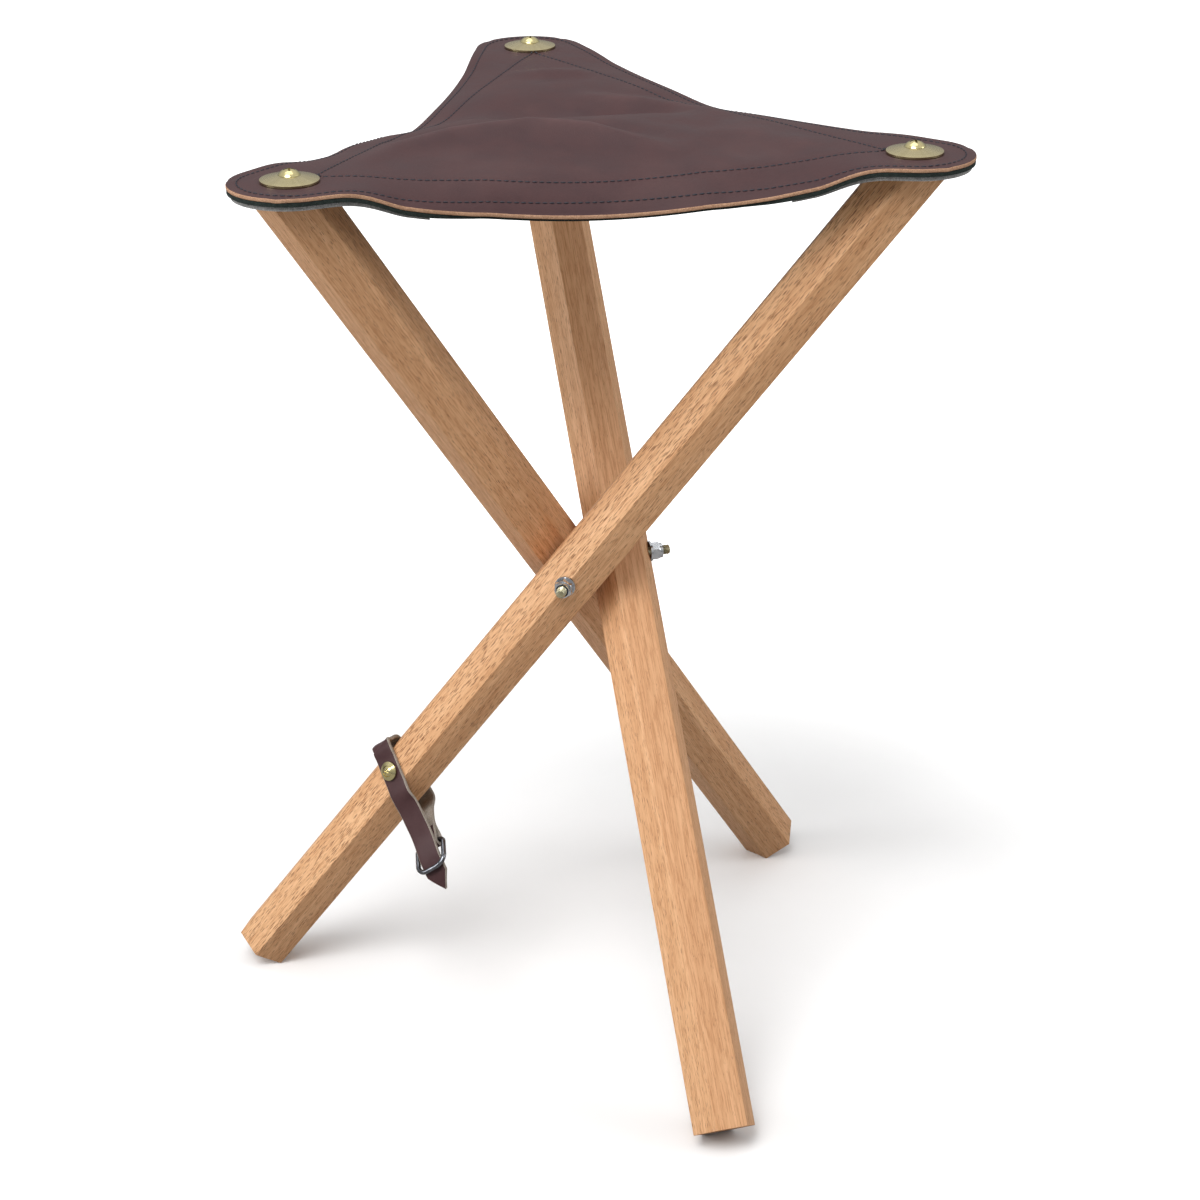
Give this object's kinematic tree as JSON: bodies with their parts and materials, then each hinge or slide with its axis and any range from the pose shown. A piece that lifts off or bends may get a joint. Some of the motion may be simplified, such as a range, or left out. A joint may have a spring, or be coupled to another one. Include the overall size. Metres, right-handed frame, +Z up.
{
  "type": "folding stool",
  "caption": "Folding tripod stool: hexagonal beech legs crossed on a three-armed bolt under a sagging triangular leather seat, with a leather carrying strap.",
  "frame": {"origin": "on the floor, under the middle of the three-way bolt", "axes": "+Z up, +X to the right of the seat's front side, -Y out of the front side; the rear corner of the seat is at +Y"},
  "size_m": [0.3393, 0.3615, 0.4549],
  "materials": {
    "beech": "clear matte lacquer over hexagonal beech",
    "seat_leather": "smooth dark brown leather, tan cut edge",
    "band_leather": "dark split leather",
    "patch_leather": "grey flesh side",
    "strap_leather": "smooth dark brown leather",
    "brass": "turned and lacquered",
    "zinc_steel": "zinc plated",
    "nylon": "dark nylon",
    "nickel": "nickel plated"
  },
  "bodies": {
    "pivot": {"three_way_bolt": "zinc_steel", "seat_leather": "seat_leather", "front_edge_band": "band_leather", "right_edge_band": "band_leather", "left_edge_band": "band_leather", "left_corner_patch": "patch_leather", "right_corner_patch": "patch_leather", "rear_corner_patch": "patch_leather", "left_bolt_washer": "zinc_steel", "left_lock_nut": "zinc_steel", "left_nut_insert": "nylon", "right_bolt_washer": "zinc_steel", "right_lock_nut": "zinc_steel", "right_nut_insert": "nylon", "rear_bolt_washer": "zinc_steel", "rear_lock_nut": "zinc_steel", "rear_nut_insert": "nylon"},
    "left_leg": {"left_leg": "beech", "left_corner_washer": "brass", "left_corner_screw": "brass"},
    "right_leg": {"right_leg": "beech", "right_corner_washer": "brass", "right_corner_screw": "brass", "strap": "strap_leather", "strap_ring": "nickel", "strap_cup_washer": "brass", "strap_screw": "brass"},
    "rear_leg": {"rear_leg": "beech", "rear_corner_washer": "brass", "rear_corner_screw": "brass"}
  },
  "joints": [
    {"name": "left_leg_fold", "type": "hinge", "parent": "pivot", "child": "left_leg", "pos_m": [-0.01149, 0.01526, 0.234], "axis": [-0.6013, 0.799, 0], "range_deg": [0, 36.8]},
    {"name": "right_leg_fold", "type": "hinge", "parent": "pivot", "child": "right_leg", "pos_m": [-0.00747, -0.01758, 0.234], "axis": [-0.3913, -0.9203, 0], "range_deg": [0, 36.8], "deforming": ["seat_leather", "front_edge_band", "right_edge_band", "left_edge_band", "left_corner_patch", "right_corner_patch", "rear_corner_patch"]},
    {"name": "rear_leg_fold", "type": "hinge", "parent": "pivot", "child": "rear_leg", "pos_m": [0.01896, 0.00232, 0.234], "axis": [0.9926, 0.1213, 0], "range_deg": [0, 36.8]}
  ],
  "couplings": [
    {"joint": "left_leg_fold", "follows": "right_leg_fold", "ratio": 1},
    {"joint": "rear_leg_fold", "follows": "right_leg_fold", "ratio": 1}
  ]
}
